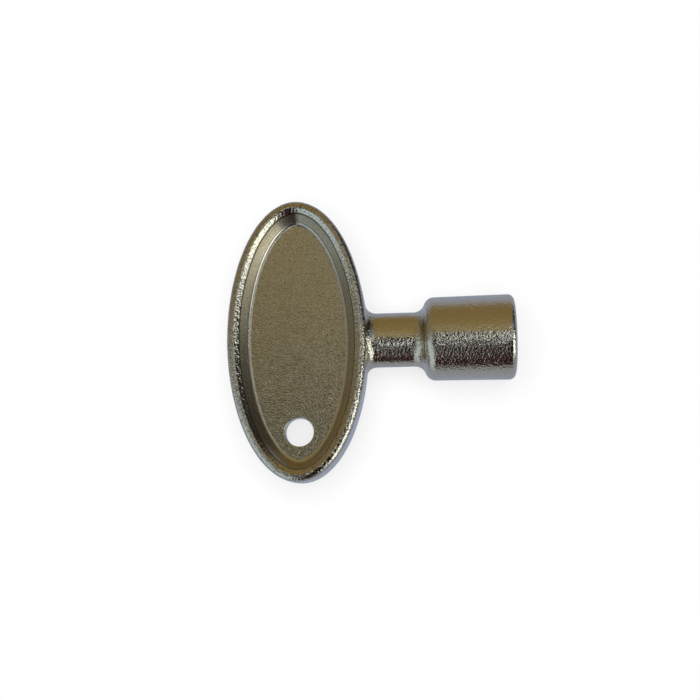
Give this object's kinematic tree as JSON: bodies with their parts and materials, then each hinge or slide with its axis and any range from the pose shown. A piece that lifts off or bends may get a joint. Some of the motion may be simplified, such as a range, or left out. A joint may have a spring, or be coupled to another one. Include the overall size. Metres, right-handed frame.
{
  "type": "radiator bleed key",
  "caption": "One-piece cast key with an oval beaded bow, a hanging hole, a flattened neck and a round barrel with a square socket for air-vent stems.",
  "frame": {"origin": "centre of the square socket's mouth, in the plane of the barrel's end face", "axes": "+X along the shank and out of the socket's mouth, +Y along the bow's long axis away from the hanging hole, +Z square to the bow's faces"},
  "size_m": [0.0382, 0.0376, 0.0114],
  "materials": {
    "nickel_plated_zinc": "bright nickel plate over an as-cast zinc skin, finely pebbled on the outside and smoother in the bow's coves"
  },
  "bodies": {
    "root": {"bow_rim": "nickel_plated_zinc", "bow_web": "nickel_plated_zinc", "neck": "nickel_plated_zinc", "socket_barrel": "nickel_plated_zinc"}
  },
  "joints": []
}
